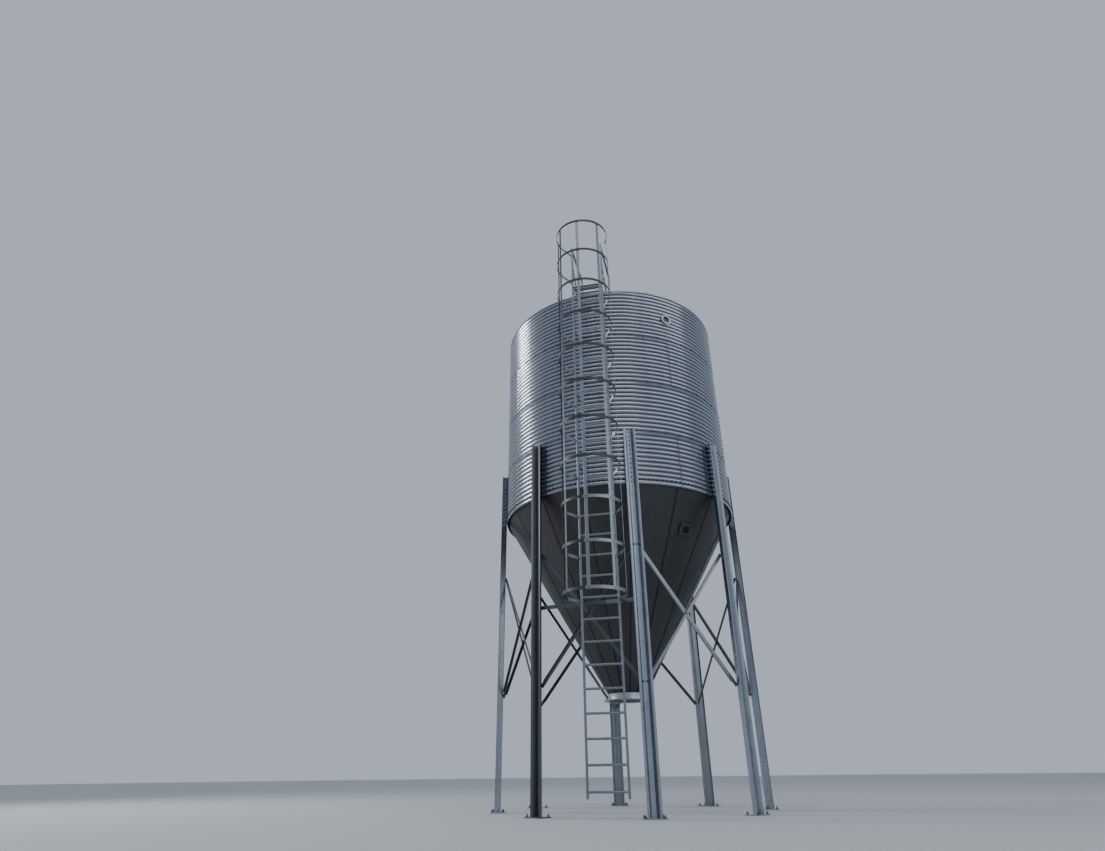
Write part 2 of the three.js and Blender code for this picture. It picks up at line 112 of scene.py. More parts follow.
class SiloSizes(bpy.types.PropertyGroup):
    wall_radius: length("Wall radius", "Radius over the crests of the corrugation", 1.7560)
    corrugation_depth: length("Corrugation depth", "From crest to groove of the wall", 0.0125)
    sheet_thickness: length("Wall sheet thickness", "Thickness of the wall's sheets", 0.0012)
    hopper_radius: length("Hopper radius", "Radius of the hopper's band in the wall", 1.7420)
    hopper_sheets: count("Hopper sheets", "Lapped sheets in each quarter of the hopper", 4)
    roof_ribs: count("Roof ribs", "Standing ribs on each quarter of the roof", 6)
    leg_thickness: length("Leg steel", "Thickness of the legs' hat sections", 0.0040)
    brace_width: length("Brace width", "Width of the braces' wide face", 0.045)
    brace_lip: length("Brace lip", "Height of the braces' narrow lip", 0.022)
    rung_radius: length("Rung radius", "Radius of the ladder's round rungs", 0.014)
    strap_thickness: length("Cage straps", "Thickness of the hoops and uprights", 0.005)
    handrail_radius: length("Handrail radius", "Radius of the handrails' tube", 0.016)
    bolt_size: length("Bolt head", "Width over the corners of an ordinary bolt head", 0.016)


class SiloColours(bpy.types.PropertyGroup):
    wall: colour("Wall", "Bright galvanised wall and roof", 0.345, 0.372, 0.430)
    # Painted shade: the hopper's colour is kept far darker than the wall's, on top of its dull
    # sheet
    hopper: colour("Hopper", "Dull galvanised hopper", 0.083, 0.081, 0.083)
    legs: colour("Legs", "Hot-dip galvanised legs and braces", 0.355, 0.388, 0.435)
    ladder: colour("Ladder", "Hot-dip galvanised ladder and cage", 0.25, 0.275, 0.31)
    # Painted glint: a near-white colour for the right ends of the upper hoops
    clean: colour("Clean zinc", "Bright ends of the cage's upper hoops", 0.92, 0.96, 1.0)
    fittings: colour("Fittings", "Light grey port, peak ring and outlet", 0.44, 0.47, 0.50)
    bolts: colour("Bolts", "Zinc-plated bolts and washers", 0.11, 0.12, 0.14)
    dirt: colour("Dirt", "Brown dust and faint runs", 0.10, 0.078, 0.060)
    floor: colour("Floor", "Pale studio floor", 0.50, 0.51, 0.52)


def sizes():
    return bpy.context.scene.silo_sizes


def span(node):
    """Half the width of a CAD node's box, its bottom and its top."""
    low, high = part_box(node)
    return (high.x - low.x) / 2, low.z, high.z


def shown(name, data):
    """Makes an object and puts it into the scene."""
    made = bpy.data.objects.new(name, data)
    bpy.context.scene.collection.objects.link(made)
    return made


def shaded(name, share=1.0):
    """One of the colours, made darker or lighter."""
    return tuple(min(1.0, c * share) for c in getattr(bpy.context.scene.silo_colours, name))


# Places round the tank's axis. Azimuth 0 faces -Y and 90 faces +X.


def around(azimuth, radius, height):
    """A point on a circle round the tank's axis."""
    a = radians(azimuth)
    return Vector((AXIS.x + radius * sin(a), AXIS.y - radius * cos(a), height))


def outward(azimuth, rise=0.0):
    """Unit direction away from the axis, tipped up by rise degrees."""
    a, r = radians(azimuth), radians(rise)
    return Vector((sin(a) * cos(r), -cos(a) * cos(r), sin(r)))


def sideways(azimuth):
    """Unit direction to the right of someone who faces the tank at an azimuth."""
    a = radians(azimuth)
    return Vector((cos(a), sin(a), 0))


def facing(azimuth):
    """Turns (sideways, outwards from the axis, height) at an azimuth into a point."""
    side, out = sideways(azimuth), outward(azimuth)

    def place(across, outwards, height):
        return AXIS + side * across + out * outwards + UP * height

    return place


def sloping(place, x, out, height, angle):
    """A local frame at a point of another, its outwards direction turned down by an angle."""
    cosine, sine = cos(angle), sin(angle)

    def turned(across, outwards, up):
        return place(
            x + across, out + outwards * cosine + up * sine, height - outwards * sine + up * cosine)

    return turned


beside_ladder = facing(LADDER_AZIMUTH)
LADDER_RIGHT = sideways(LADDER_AZIMUTH)


# Closed shells


class Form:
    """Collects closed shells, each with a material number, for one object."""

    def __init__(self):
        self.points = []
        self.faces = []
        self.finishes = []

    def add(self, points, faces, finish):
        start = len(self.points)
        self.points.extend(points)
        self.faces.extend(tuple(start + i for i in face) for face in faces)
        self.finishes.extend([finish] * len(faces))

    def loft(self, rings, finish=0, loop=False, strip=False):
        """Skins rings of points in a row. The ends are capped, or joined in a loop.

        A strip cap joins the first half of a ring to its second half, for thin outlines.
        """
        count = len(rings[0])
        last = (len(rings) - 1) * count
        faces = []
        for r in range(len(rings) if loop else len(rings) - 1):
            a, b = r * count, (r + 1) % len(rings) * count
            for i in range(count):
                j = (i + 1) % count
                faces.append((a + i, a + j, b + j, b + i))
        if strip:
            for i in range(count // 2 - 1):
                far = count - 1 - i
                faces.append((i, far, far - 1, i + 1))
                faces.append((last + i, last + i + 1, last + far - 1, last + far))
        elif not loop:
            faces.append(tuple(reversed(range(count))))
            faces.append(tuple(last + i for i in range(count)))
        self.add([p for ring in rings for p in ring], faces, finish)

    def lathe(self, profile, origin, direction, steps, finish=0):
        """Turns a profile of (radius, distance along the direction) into a closed shell.

        A closed profile gives a ring; one that starts and ends at radius 0 gives a solid.
        """
        direction = direction.normalized()
        across = direction.orthogonal().normalized()
        other = direction.cross(across)
        solid = profile[0][0] == 0
        body = profile[1:-1] if solid else profile
        rings = []
        for i in range(steps):
            a = TURN * i / steps
            arm = across * cos(a) + other * sin(a)
            rings.append([origin + direction * d + arm * r for r, d in body])
        if not solid:
            self.loft(rings, finish, loop=True)
            return
        count = len(body)
        points = [p for ring in rings for p in ring]
        first, final = len(points), len(points) + 1
        points += [origin + direction * profile[0][1], origin + direction * profile[-1][1]]
        faces = []
        for i in range(steps):
            a, b = i * count, (i + 1) % steps * count
            faces.append((first, b, a))
            faces.append((final, a + count - 1, b + count - 1))
            for k in range(count - 1):
                faces.append((a + k, b + k, b + k + 1, a + k + 1))
        self.add(points, faces, finish)

    def sweep(self, path, section, up=UP):
        """Carries a section of (sideways, up) offsets along a path, with mitred corners."""
        rings = []
        for point, arrive, leave, along in bends(path):
            side = along.cross(up).normalized()
            rise = side.cross(along).normalized()
            stretch = 1 / max(0.5, along.dot(leave))
            turning = leave - arrive
            level = abs(turning.dot(side)) >= abs(turning.dot(rise))
            wide, tall = (stretch, 1) if level else (1, stretch)
            rings.append([point + side * a * wide + rise * b * tall for a, b in section])
        self.loft(rings)

    def refinish(self, sweep_start, first, last, finish):
        """Gives some segments of a bar that was swept from a face on another finish."""
        a, b = sweep_start + BAR_SIDES * first, sweep_start + BAR_SIDES * last
        self.finishes[a:b] = [finish] * (b - a)

    def bolt(self, point, direction, size=None):
        """A hexagon head on a round washer, sunk 1 mm into what it holds."""
        size = size or sizes().bolt_size
        washer, head = size * 0.62, size * 0.5
        washer_top, head_top = size * 0.12, size * 0.48
        self.lathe(
            [(0, -0.001), (washer, -0.001), (washer, washer_top), (0, washer_top)],
            point, direction, 12, 1)
        self.lathe(
            [(0, washer_top / 2), (head, washer_top / 2), (head, head_top * 0.86),
             (head * 0.84, head_top), (0, head_top)], point, direction, 6, 1)

    def block(self, place, low, high, edge, finish=0):
        """A box between two corners in a local frame, its edges slightly broken."""
        (x0, y0, z0), (x1, y1, z1) = low, high
        x, y = (x0 + x1) / 2, (y0 + y1) / 2
        rings = []
        for z, inset in ((z0, edge), (z0 + edge, 0), (z1 - edge, 0), (z1, edge)):
            outline = bar_section((x1 - x0) / 2 - inset, (y1 - y0) / 2 - inset, edge)
            rings.append([place(x + a, y + b, z) for a, b in outline])
        self.loft(rings, finish)

    def build(self, name, finishes, node, angle=32):
        """Makes the object that stands for a CAD node. Its finishes are given by name."""
        mesh = bpy.data.meshes.new(name)
        mesh.from_pydata([tuple(p) for p in self.points], [], self.faces)
        for finish in finishes.split():
            mesh.materials.append(material(finish))
        mesh.polygons.foreach_set("material_index", self.finishes)
        shell = bmesh.new()
        shell.from_mesh(mesh)
        bmesh.ops.recalc_face_normals(shell, faces=shell.faces)
        shell.to_mesh(mesh)
        shell.free()
        mesh.shade_smooth()
        mesh.set_sharp_from_angle(angle=radians(angle))
        piece = shown(name, mesh)
        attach(piece, "root")
        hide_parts(node)


BAR_SIDES = 8


def bar_section(half_a, half_b, corner):
    """Outline of a rectangular bar with cut corners."""
    a, b = half_a - corner, half_b - corner
    return [
        (-a, -half_b), (a, -half_b), (half_a, -b), (half_a, b),
        (a, half_b), (-a, half_b), (-half_a, b), (-half_a, -b),
    ]


def round_section(radius, steps):
    """Outline of a round bar or tube."""
    turns = [TURN * i / steps for i in range(steps)]
    return [(radius * cos(a), radius * sin(a)) for a in turns]


def bends(path):
    """Each point of a path, the directions in and out of it, and the one between them."""
    ways = [(b - a).normalized() for a, b in zip(path, path[1:])]
    for i, point in enumerate(path):
        arrive, leave = ways[max(i - 1, 0)], ways[min(i, len(ways) - 1)]
        yield point, arrive, leave, (arrive + leave).normalized()


def eased(points, radius, steps):
    """A path with its corners rounded."""
    path = [points[0]]
    for i in range(1, len(points) - 1):
        here = points[i]
        back, on = points[i - 1] - here, points[i + 1] - here
        reach = min(radius, back.length * 0.45, on.length * 0.45)
        start, end = here + back.normalized() * reach, here + on.normalized() * reach
        for k in range(steps + 1):
            t = k / steps
            path.append((1 - t) ** 2 * start + 2 * t * (1 - t) * here + t * t * end)
    path.append(points[-1])
    return path


# Finishes


class Wire:
    """A socket that reads as a number in Python expressions."""

    def __init__(self, finish, socket):
        self.finish = finish
        self.socket = socket

    def __add__(self, other):
        return self.finish.maths("ADD", self, other)

    def __sub__(self, other):
        return self.finish.maths("SUBTRACT", self, other)

    def __rsub__(self, other):
        return self.finish.maths("SUBTRACT", other, self)

    def __mul__(self, other):
        return self.finish.maths("MULTIPLY", self, other)

    __radd__ = __add__
    __rmul__ = __mul__


class Finish:
    """A material whose nodes are written as expressions."""

    def __init__(self, name):
        self.material = bpy.data.materials.new(name)
        self.material.use_nodes = True
        self.tree = self.material.node_tree
        self.shader = self.tree.nodes["Principled BSDF"]

    def node(self, kind, inputs, output=0, **settings):
        """Adds a node, first its settings and then the values or links of its sockets."""
        made = self.tree.nodes.new(kind)
        for key, value in settings.items():
            setattr(made, key, value)
        for key, value in inputs.items():
            self.put(made.inputs[key], value)
        return Wire(self, made.outputs[output])

    def put(self, socket, value):
        if isinstance(value, Wire):
            self.tree.links.new(value.socket, socket)
        else:
            socket.default_value = (*value, 1) if socket.type == "RGBA" else value

    def maths(self, operation, a, b=0.0):
        return self.node("ShaderNodeMath", {0: a, 1: b}, operation=operation)

    def vector(self, operation, a, b=(0, 0, 0), output=0):
        return self.node("ShaderNodeVectorMath", {0: a, 1: b}, output, operation=operation)

    def blend(self, factor, a, b):
        """Mixes two colours."""
        return self.node("ShaderNodeMix", {0: factor, 6: a, 7: b}, 2, data_type="RGBA")

    def mottled(self, name, dark, light, *patterns):
        """A colour between a dark and a light share, led by (pattern, weight) pairs."""
        tone = 0.5
        for pattern, weight in patterns:
            tone = tone + (pattern - 0.5) * weight
        return self.blend(tone, shaded(name, dark), shaded(name, light))

    def place(self, *stretch):
        """Object coordinates, stretched if that is asked."""
        here = self.node("ShaderNodeTexCoord", {}, "Object")
        return self.vector("MULTIPLY", here, stretch) if stretch else here

    def along(self, axis, vector):
        """One coordinate of a vector."""
        return self.node("ShaderNodeSeparateXYZ", {0: vector}, axis)

    def noise(self, scale, detail=3.0, roughness=0.5, where=None):
        where = where or self.place()
        inputs = {"Vector": where, "Scale": scale, "Detail": detail, "Roughness": roughness}
        return self.node("ShaderNodeTexNoise", inputs)

    def spangle(self, scale):
        """Zinc crystals, as one random number for each cell."""
        inputs = {"Vector": self.place(), "Scale": scale}
        cells = self.node("ShaderNodeTexVoronoi", inputs, "Color", feature="F1")
        return self.node("ShaderNodeSeparateColor", {0: cells})

    def limited(self, value, low, high, new_low=0.0, new_high=1.0):
        """Maps a range of values to another and cuts off what lies beyond it."""
        return self.node("ShaderNodeMapRange", {0: value, 1: low, 2: high, 3: new_low, 4: new_high})

    def lap_line(self, step):
        """A thin line of painted shade down each lap of the cone, below the edge."""
        arm = self.vector("SUBTRACT", self.place(), tuple(AXIS))
        x, y = self.along("X", arm), self.along("Y", arm)
        out = self.vector("LENGTH", self.vector("MULTIPLY", arm, (1, 1, 0)), output="Value")
        turn = self.maths("ARCTAN2", x, 0.0 - y) * (360 / TURN / step) + 64.0
        gap = self.maths("ABSOLUTE", self.maths("FRACT", turn) - 0.5)
        metres = (0.5 - gap) * out * radians(step)
        return self.limited(metres, 0.004, 0.013, 1.0, 0.0)

    def bump(self, height, strength, distance):
        inputs = {"Height": height, "Strength": strength, "Distance": distance}
        return self.node("ShaderNodeBump", inputs)

    def paint(self, colour, roughness, metallic, normal=None):
        values = {"Base Color": colour, "Roughness": roughness, "Metallic": metallic}
        if normal:
            values["Normal"] = normal
        for key, value in values.items():
            self.put(self.shader.inputs[key], value)
        return self.material


# Painted shade: the dark colour laid into the wall's grooves and along the hopper's laps
GROOVE_SHADE = (0.009, 0.011, 0.016)


def galvanised_wall(name):
    """Bright sheet: fine spangle, soft runs down the wall, painted shade with a little dust in the
    grooves.
    """
    f = Finish(name)
    crystals, patches, smudges = f.spangle(85), f.noise(1.7, 4), f.noise(14, 5, 0.65)
    runs = f.noise(1.6, 4, 0.6, f.place(9, 9, 0.55))
    steel = f.mottled("wall", 0.80, 1.16, (crystals, 0.30), (patches, 0.9), (runs, 0.7))
    turn = (RIM - f.along("Z", f.place())) * (TURN / PITCH)
    # Painted shade: dusty darkens each groove towards GROOVE_SHADE, only slightly patchy, and also
    # makes it rougher and less metallic
    groove = f.limited(f.maths("COSINE", turn), 0.33, 0.70)
    dusty = groove * f.limited(smudges, 0.3, 0.75, 0.86, 0.98)
    rough = 0.20 + (crystals - 0.5) * 0.06 + (runs - 0.5) * 0.12 + dusty * 0.35
    relief = f.noise(2.3, 2) + f.noise(160, 2) * 0.012
    colour = f.blend(dusty, steel, GROOVE_SHADE)
    return f.paint(colour, rough, 0.96 - dusty * 0.45, f.bump(relief, 0.35, 0.006))


def galvanised_hopper(name):
    """Dull plain sheet, darkened further with painted shade, with brown dust and faint runs down
    the cone.
    """
    f = Finish(name)
    crystals, patches = f.spangle(70), f.noise(1.1, 4)
    runs = f.noise(2.2, 5, 0.62, f.place(7.5, 7.5, 0.35))
    steel = f.mottled("hopper", 0.76, 1.24, (crystals, 0.22), (patches, 1.1), (runs, 0.9))
    low = f.limited(f.along("Z", f.place()), 3.4, 1.7, 0.10, 1.0)
    dirty = f.limited(runs, 0.50, 0.72) * low * 0.42
    # Painted shade down each lap, in the grooves' shade colour
    lap_shaded_steel = f.blend(f.lap_line(90 / sizes().hopper_sheets) * 0.8, steel, GROOVE_SHADE)
    rough = 0.44 + (runs - 0.5) * 0.25 + (crystals - 0.5) * 0.06 + dirty * 0.3
    relief = f.noise(1.5, 2) + f.noise(120, 2) * 0.02
    colour = f.blend(dirty, lap_shaded_steel, shaded("dirt"))
    return f.paint(colour, rough, 0.88 - dirty * 0.6, f.bump(relief, 0.4, 0.008))


def galvanised_roof(name):
    """Roof sheet: spangled, with a film of dust that thickens in patches."""
    f = Finish(name)
    crystals, patches = f.spangle(75), f.noise(1.4, 5, 0.6)
    steel = f.mottled("wall", 0.80, 1.12, (crystals, 0.35), (patches, 1.1))
    film = f.limited(f.noise(4.5, 6, 0.65), 0.42, 0.75) * 0.38
    rough = 0.34 + (crystals - 0.5) * 0.08 + film * 0.5
    relief = f.noise(2.0, 2) + f.noise(140, 2) * 0.015
    colour = f.blend(film, steel, shaded("dirt", 1.6))
    return f.paint(colour, rough, 0.95 - film * 0.5, f.bump(relief, 0.35, 0.005))


def galvanised_bar(name, colour, share, roughness, crystal_scale, metallic=0.90):
    """Hot-dip galvanised bar or section: mottled, with duller and dustier patches."""
    f = Finish(name)
    crystals, patches = f.spangle(crystal_scale), f.noise(5.5, 4)
    runs = f.noise(1.5, 4, 0.6, f.place(16, 16, 1.3))
    steel = f.mottled(
        colour, share * 0.80, share * 1.17, (crystals, 0.35), (patches, 0.8), (runs, 0.6))
    dirty = f.limited(f.noise(9, 5, 0.7), 0.58, 0.74) * 0.35
    rough = roughness + (crystals - 0.5) * 0.06 + (patches - 0.5) * 0.10 + dirty * 0.3
    relief = f.noise(60, 3) + crystals * 0.25
    dusty = f.blend(dirty, steel, shaded("dirt"))
    return f.paint(dusty, rough, metallic - dirty * 0.4, f.bump(relief, 0.10, 0.0008))


def zinc_bolt(name):
    """Zinc-plated bolt heads, each in its own shade."""
    f = Finish(name)
    grime = f.noise(90, 4, 0.6)
    tone = f.spangle(9) * 0.7 + (grime - 0.35) * 0.6
    steel = f.blend(tone, shaded("bolts", 0.62), shaded("bolts", 1.35))
    return f.paint(steel, 0.36 + grime * 0.22, 0.92, f.bump(grime, 0.15, 0.0005))


def dark_glass(name):
    """Dusty dark pane."""
    f = Finish(name)
    film = f.noise(18, 6, 0.65)
    dusty = f.limited(film, 0.4, 0.75) * 0.5
    colour = f.blend(dusty, (0.006, 0.007, 0.008), (0.06, 0.055, 0.048))
    f.put(f.shader.inputs["IOR"], 1.5)
    return f.paint(colour, 0.08 + dusty * 0.5, 0.0, f.bump(film, 0.06, 0.001))


def black_rubber(name):
    """Seal rubber round the pane."""
    f = Finish(name)
    grain = f.noise(220, 3)
    bloom = f.limited(f.noise(25, 4), 0.45, 0.8)
    colour = f.blend(bloom, (0.012, 0.012, 0.013), (0.045, 0.043, 0.040))
    return f.paint(colour, 0.62 + grain * 0.2, 0.0, f.bump(grain, 0.2, 0.0006))


FINISH_MAKERS = {
    "wall_zinc": galvanised_wall, "hopper_zinc": galvanised_hopper,
    "roof_zinc": galvanised_roof, "bolt": zinc_bolt, "glass": dark_glass, "rubber": black_rubber,
}
# Colour, share of it, roughness, scale of the crystals and, unless it is 0.90, how metallic
BARS = {
    "legs": ("legs", 1.0, 0.29, 55),
    # Painted shade: darker copies of the legs' colour for the back legs, the first leg, and its
    # mouth's sides and lips
    "back_legs": ("legs", 0.65, 0.36, 55),
    "dull_legs": ("legs", 0.44, 0.36, 55),
    "leg_sides": ("legs", 0.38, 0.40, 55),
    "leg_lips": ("legs", 0.24, 0.46, 55),
    "braces": ("legs", 0.62, 0.36, 60),
    # Painted shade: a darker copy of the braces' colour, for parts in shade
    "dull_braces": ("legs", 0.32, 0.46, 60),
    "ladder_zinc": ("ladder", 1.0, 0.40, 90),
    # Painted shade: the cage's darker copy of the ladder's colour; the near-white entry below is a
    # painted highlight
    "cage": ("ladder", 0.28, 0.52, 90),
    "clean": ("clean", 1.0, 0.30, 90, 0.20),
    "port": ("fittings", 1.35, 0.36, 80),
    "fittings": ("fittings", 1.0, 0.38, 80),
    # The window's frame takes the hopper's colour, with its painted shade
    "window": ("hopper", 1.25, 0.42, 80),
}
MADE = {}


def material(name):
    """Each finish is made once, when a piece first asks for it."""
    if name not in MADE:
        if name in BARS:
            MADE[name] = galvanised_bar(f"galvanised_{name}", *BARS[name])
        else:
            MADE[name] = FINISH_MAKERS[name](f"finish_{name}")
    return MADE[name]


# Wall


def wall_surface(height):
    """Radius of the outer face of the corrugated wall."""
    wave = 0.5 + 0.5 * cos(TURN * (RIM - height) / PITCH)
    return sizes().wall_radius - sizes().corrugation_depth * wave


def smooth_step(low, high, value):
    t = min(1.0, max(0.0, (value - low) / (high - low)))
    return t * t * (3 - 2 * t)


def evenly(first, last, count):
    """The steps from one value to another, without the first."""
    return [first + (last - first) * i / count for i in range(1, count + 1)]


def lapped_sheet(form, angles, heights, surface, lap, lap_ends, thickness):
    """A sheet round the axis that lies over its neighbour at its first edge.

    Surface gives its outer radius from a height and how far it stands over the neighbour.
    """
    rings = []
    for azimuth in angles:
        over = lap * (1 - smooth_step(*lap_ends, azimuth))
        face = [(surface(z, over), z) for z in heights]
        back = [(radius - thickness, z) for radius, z in reversed(face)]
        rings.append([around(azimuth, radius, z) for radius, z in face + back])
    form.loft(rings, strip=True)


def wall_sheet(form, ring, start):
    """One corrugated sheet, a quarter of a ring, lapped over its neighbours."""
    thickness = sizes().sheet_thickness
    lap = thickness * 1.1
    low = EAVE + ring * RING_HEIGHT
    high = low + RING_HEIGHT
    bottom = low - 0.35 * PITCH if ring else low
    top = high + 0.30 * PITCH if ring < 3 else high
    rows = round((top - bottom) / PITCH * 8)
    heights = [bottom] + evenly(bottom, top, rows)
    edge = 0.8
    first, last = start - edge + 1.75, start + 90 + edge
    angles = [start - edge, start - edge + 1.45, first] + evenly(first, last, 47)

    def surface(z, over):
        tuck = 0.0
        if ring < 3:
            tuck = -2 * lap * smooth_step(high - 0.62 * PITCH, high - 0.45 * PITCH, z)
        return wall_surface(z) + over + tuck

    lap_ends = start + 0.65, start + 0.95
    lapped_sheet(form, angles, heights, surface, lap, lap_ends, thickness)


def wall_bolts(form, ring, start):
    """Bolts of one half ring: down its two seams, and round the lap or the eave below."""
    low = EAVE + ring * RING_HEIGHT
    lift = 0.22 * PITCH
    for quarter in (0, 90):
        azimuth = start + quarter + 0.05
        for k in range(12):
            spot = around(azimuth, sizes().wall_radius + 0.0012, low + (k + 0.5) * PITCH)
            form.bolt(spot, outward(azimuth))
    z, step, size = (low + lift, 7.5, 0.014) if ring else (low + PITCH + lift, 2.25, 0.020)
    for i in range(round(360 / step)):
        azimuth = (i + 0.5) * step
        if (azimuth - start) % 360 < 180:
            form.bolt(around(azimuth, wall_surface(low + lift), z), outward(azimuth), size)


class SILO_OT_wall(bpy.types.Operator):
    """Builds the four corrugated rings, each of two halves with two lapped sheets"""
    bl_idname = "silo.wall"
    bl_label = "Corrugated wall"

    def execute(self, context):
        for ring in range(4):
            seam = 46.5 if ring % 2 == 0 else 1.5
            for half in range(2):
                form = Form()
                start = seam + 180 * half
                wall_sheet(form, ring, start)
                wall_sheet(form, ring, start + 90)
                wall_bolts(form, ring, start)
                form.build(
                    f"corrugated_ring_{ring + 1}_half_{half + 1}", "wall_zinc bolt",
                    f"wall_ring_{ring + 1}_sheet_{half + 1}")
        return {"FINISHED"}


# Hopper


def hopper_radius(height):
    """Outer radius of the cone, or of the upright band above it."""
    return sizes().hopper_radius - max(0.0, HOPPER_BEND - height) / HOPPER_FALL


def hopper_sheet(form, start, sweep):
    """One plain sheet of the cone, lapped over the next at its first edge."""
    lap = 0.0042
    edge = 0.55
    dent, dent_reach = 0.0012, 0.014
    heights = [HOPPER_BEND + up for up in (HOPPER_BAND, 0.012, 0.005, -0.006, -0.016)]
    heights += evenly(heights[-1], OUTLET_HIGH.z + 0.0005, 16)
    angles = [start - edge, start + 0.25, start + 0.45]
    angles += evenly(angles[-1], start + sweep + edge, 14)

    def surface(z, over):
        sunk = dent * max(0.0, 1 - abs(z - HOPPER_BEND) / dent_reach)
        return hopper_radius(z) + over - sunk

    lap_ends = start + 0.22, start + 0.48
    lapped_sheet(form, angles, heights, surface, lap, lap_ends, 0.002)
    first_bolt, bolt_pitch = 0.14, 0.128
    for i in range(19):
        z = HOPPER_BEND - first_bolt - i * bolt_pitch
        radius = hopper_radius(z) + lap
        azimuth = start + degrees(0.004 / radius)
        form.bolt(around(azimuth, radius, z), outward(azimuth, -30), 0.011)


class SILO_OT_hopper(bpy.types.Operator):
    """Builds the hopper's quarters, each of lapped plain sheets with bolted laps"""
    bl_idname = "silo.hopper"
    bl_label = "Hopper"

    def execute(self, context):
        sheets = sizes().hopper_sheets
        for quarter in range(4):
            form = Form()
            for i in range(sheets):
                hopper_sheet(form, 45 + 90 * quarter + 90 * i / sheets, 90 / sheets)
            form.build(
                f"hopper_quarter_{quarter + 1}", "hopper_zinc bolt",
                f"hopper_panel_{quarter + 1}", angle=24)
        return {"FINISHED"}


class SILO_OT_outlet(bpy.types.Operator):
    """Builds the outlet's neck with its bolted flange"""
    bl_idname = "silo.outlet"
    bl_label = "Outlet"

    def execute(self, context):
        flange, low, high = span("outlet_collar")
        bore, neck, bend = 0.264, 0.279, 0.006
        top = low + 0.010
        form = Form()
        form.lathe(
            [(bore, high), (neck - 0.002, high), (neck, high - 0.002), (neck, top + bend),
             (neck + bend * 0.3, top + bend * 0.3), (neck + bend, top), (flange - 0.001, top),
             (flange, low + 0.009), (flange, low + 0.001), (flange - 0.001, low),
             (bore, low)], AXIS, UP, 72)
        for i in range(16):
            form.bolt(around(i * 22.5 + 11.25, (neck + flange) / 2 + 0.004, top), UP)
        form.build("outlet_neck", "fittings bolt", "outlet_collar")
        return {"FINISHED"}


# Roof


def roof_height(radius):
    return ROOF_EDGE_TOP + (ROOF_RADIUS - radius) * ROOF_SLOPE


def roof_rib(form, azimuth):
    """A standing rib down the slope, with a slanted end at the eave."""
    place = facing(azimuth)
    rings = []
    for out, grow in ((ROOF_RADIUS - 0.004, 0.15), (ROOF_RADIUS - 0.03, 1.0), (0.452, 1.0)):
        base = roof_height(out) - 0.003
        top = base + 0.003 + 0.020 * grow
        corners = ((-0.021, base), (0.021, base), (0.012, top), (-0.012, top))
        rings.append([place(x, out, z) for x, z in corners])
    form.loft(rings)


def roof_quarter(form, start):
    """A quarter of the roof's cone, with its edge turned down over the rim."""
    thickness = 0.0015
    upstand_top = span("roof_panel_1")[2] - 0.0005
    outer = [
        (ROOF_RADIUS, ROOF_EDGE_TOP - 0.024), (ROOF_RADIUS, ROOF_EDGE_TOP - 0.004),
        (ROOF_RADIUS - 0.003, ROOF_EDGE_TOP - 0.0005),
    ]
    edge = ROOF_RADIUS - 0.008
    slope = [edge] + evenly(edge, PEAK_RADIUS + 0.006, 8)
    outer += [(radius, roof_height(radius)) for radius in slope]
    outer += [(PEAK_RADIUS, roof_height(PEAK_RADIUS) + 0.006), (PEAK_RADIUS, upstand_top)]
    inner = []
    for i, (radius, z) in enumerate(outer):
        if 2 <= i <= len(outer) - 3:
            inner.append((radius - thickness * 0.5, z - thickness * 1.1))
        else:
            inner.append((radius - thickness, z - (0.002 if i == 1 else 0)))
    rings = []
    for k in range(33):
        azimuth = start + 90 * k / 32
        rings.append([around(azimuth, r, z) for r, z in outer + inner[::-1]])
    form.loft(rings, strip=True)


class SILO_OT_roof(bpy.types.Operator):
    """Builds the roof's quarters with their ribs, the peak ring and the fill lid"""
    bl_idname = "silo.roof"
    bl_label = "Roof"

    def execute(self, context):
        ribs = sizes().roof_ribs
        bolts_out = ROOF_RADIUS - 0.05
        for quarter in range(4):
            start = 45 + 90 * quarter
            form = Form()
            roof_quarter(form, start)
            for i in range(ribs):
                azimuth = start + 90 * (i + 0.5) / ribs
                roof_rib(form, azimuth)
                for side in (-1.6, 1.6, 90 / ribs / 2):
                    spot = around(azimuth + side, bolts_out, roof_height(bolts_out))
                    form.bolt(spot, outward(azimuth + side, 60))
            form.build(
                f"roof_quarter_{quarter + 1}", "roof_zinc bolt",
                f"roof_panel_{quarter + 1}")
        self.peak()
        self.lid()
        return {"FINISHED"}

    def peak(self):
        outer, bottom, top = span("peak_ring")
        inner, edge = 0.4365, 0.004
        form = Form()
        form.lathe(
            [(inner, bottom), (outer - edge, bottom), (outer, bottom + edge),
             (outer, top - edge), (outer - edge, top), (inner, top)], AXIS, UP, 96)
        for azimuth in range(15, 375, 30):
            form.bolt(around(azimuth, outer, (top + bottom) / 2), outward(azimuth))
        form.build("peak_band", "fittings bolt", "peak_ring")

    def lid(self):
        outer, bottom, top = span("fill_lid")
        shoulder = bottom + 0.036
        profile = [(0, bottom + 0.004), (outer - 0.012, bottom + 0.004), (outer - 0.012, bottom)]
        profile += [(outer - 0.002, bottom), (outer, bottom + 0.002), (outer, bottom + 0.007)]
        profile += [(outer - 0.005, bottom + 0.012), (outer - 0.005, bottom + 0.030)]
        for i in range(9):
            t = i / 9
            radius = (outer - 0.012) * cos(t * pi / 2) ** 0.8
            profile.append((radius, shoulder + (top - shoulder) * sin(t * 1.5)))
        form = Form()
        form.lathe(profile + [(0, top)], AXIS, UP, 72)
        form.build("fill_cover", "roof_zinc", "fill_lid")


# Legs and braces


